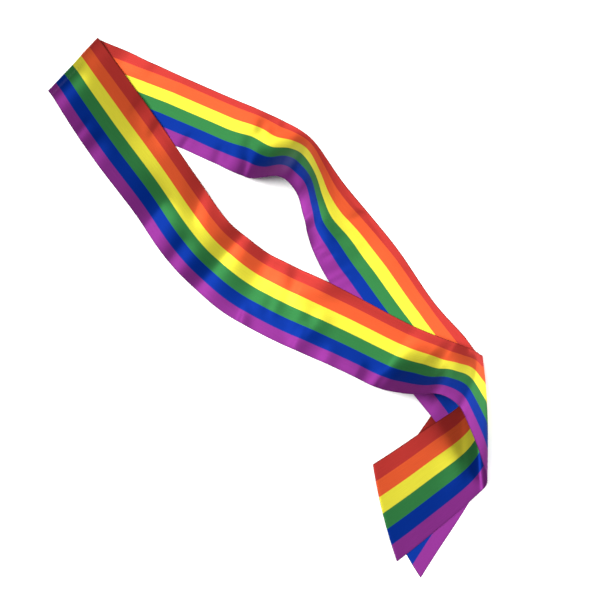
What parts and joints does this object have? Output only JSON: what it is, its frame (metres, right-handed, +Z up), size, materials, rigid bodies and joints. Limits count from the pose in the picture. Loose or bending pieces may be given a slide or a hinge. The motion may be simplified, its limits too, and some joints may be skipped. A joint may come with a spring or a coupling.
{
  "type": "sash",
  "caption": "Long satin sash in rainbow stripes, laid flat as a pointed loop that is folded under at one side, where its slant-cut tails cross.",
  "frame": {"origin": "on the surface that the sash rests on, under the middle of its bounding box", "axes": "+Z up from the surface, +Y along the loop, away from the tails, +X to the side where the tails cross"},
  "size_m": [0.584, 0.7434, 0.0656],
  "materials": {
    "striped_satin": "woven polyester satin in equal stripes of red, orange, yellow, green, blue and purple, with a soft sheen"
  },
  "bodies": {
    "root": {"front_run": "striped_satin", "front_tail": "striped_satin", "back_run": "striped_satin", "back_tail": "striped_satin"}
  },
  "joints": []
}
